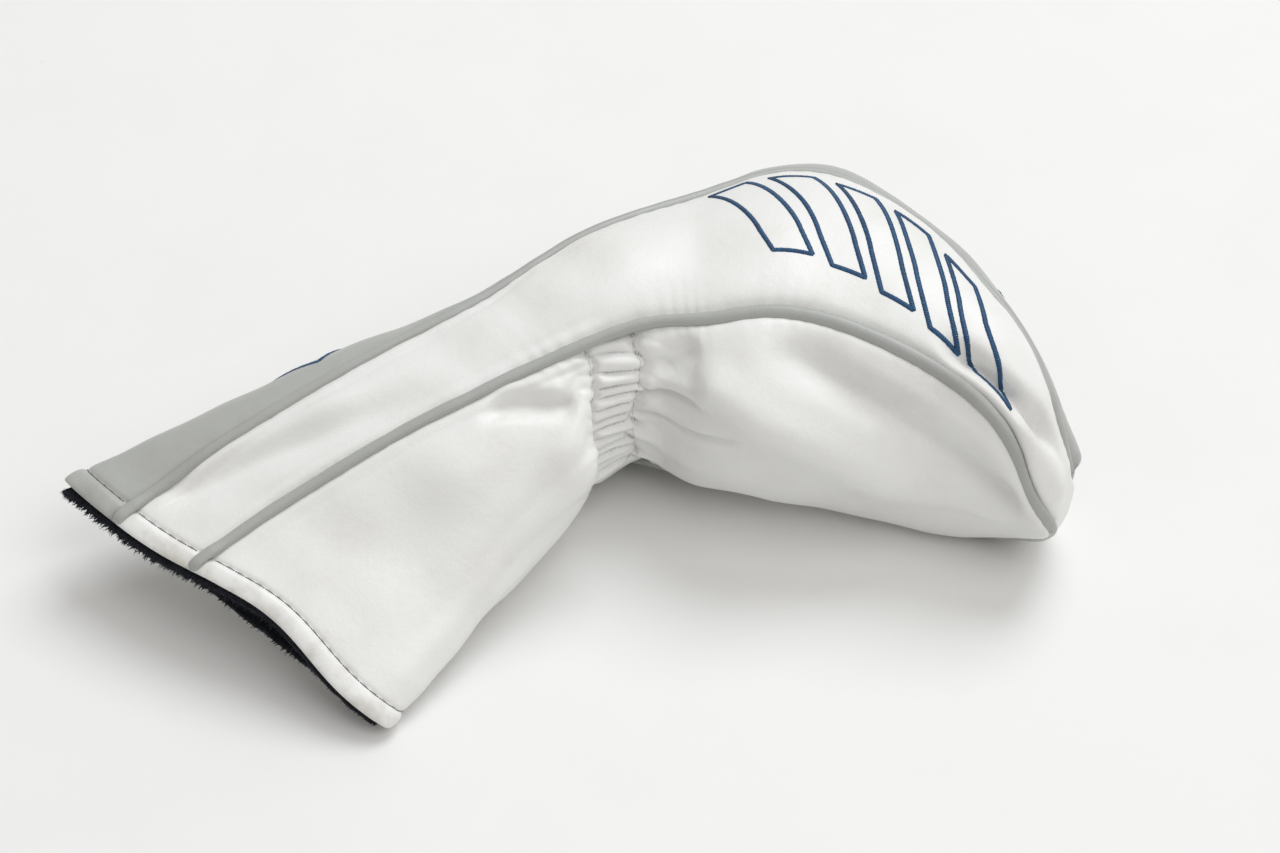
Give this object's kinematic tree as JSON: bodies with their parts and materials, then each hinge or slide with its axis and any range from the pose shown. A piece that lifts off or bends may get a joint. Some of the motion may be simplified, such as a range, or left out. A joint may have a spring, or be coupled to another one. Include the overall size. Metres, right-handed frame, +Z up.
{
  "type": "driver head cover",
  "caption": "Padded hood with a piped crown and an elastic neck on a long open sleeve, which protects the head of a golf driver; lying on its side.",
  "frame": {"origin": "middle of the flat patch the hood rests on", "axes": "+X up the sleeve from its open mouth toward the neck, +Y toward the crown side, +Z up off the table"},
  "size_m": [0.2484, 0.22, 0.0856],
  "materials": {
    "leather_grey": "satin synthetic leather, fine grain",
    "leather_white": "satin synthetic leather, fine grain",
    "piping_grey": "satin synthetic leather over cord",
    "foam": "open-cell foam",
    "pile": "short pile fleece",
    "elastic": "woven elastic",
    "thread_pale": "polyester thread",
    "thread_grey": "polyester thread",
    "thread_blue": "satin-stitched rayon thread"
  },
  "bodies": {
    "hood": {"crown_panel_hood": "leather_grey", "gusset_hood": "leather_white", "sole_panel_hood": "leather_white", "crown_piping_hood": "piping_grey", "sole_piping_hood": "piping_grey", "crown_foam": "foam", "gusset_foam": "foam", "sole_foam": "foam", "hood_lining": "pile", "neck_elastic": "elastic", "gather_stitches_front": "thread_pale", "gather_stitches_back": "thread_pale", "emblem_bars": "thread_blue", "emblem_crown_hood": "thread_blue"},
    "sleeve": {"crown_panel_sleeve": "leather_grey", "gusset_sleeve_top": "leather_white", "gusset_sleeve_under": "leather_white", "belly_panel_sleeve": "leather_white", "crown_piping_sleeve_top": "piping_grey", "crown_piping_sleeve_under": "piping_grey", "sole_piping_sleeve_top": "piping_grey", "sole_piping_sleeve_under": "piping_grey", "sleeve_lining": "pile", "hem_crown": "leather_grey", "hem_gusset_top": "leather_white", "hem_gusset_under": "leather_white", "hem_belly": "leather_white", "hem_stitches": "thread_grey", "emblem_crown_sleeve": "thread_blue"}
  },
  "joints": [
    {"name": "neck_flex", "type": "hinge", "parent": "hood", "child": "sleeve", "pos_m": [-0.06311, 0.09755, 0.0451], "axis": [0, 0, -1], "range_deg": [-5, 35], "stiffness_Nm_per_rad": 0.05}
  ]
}
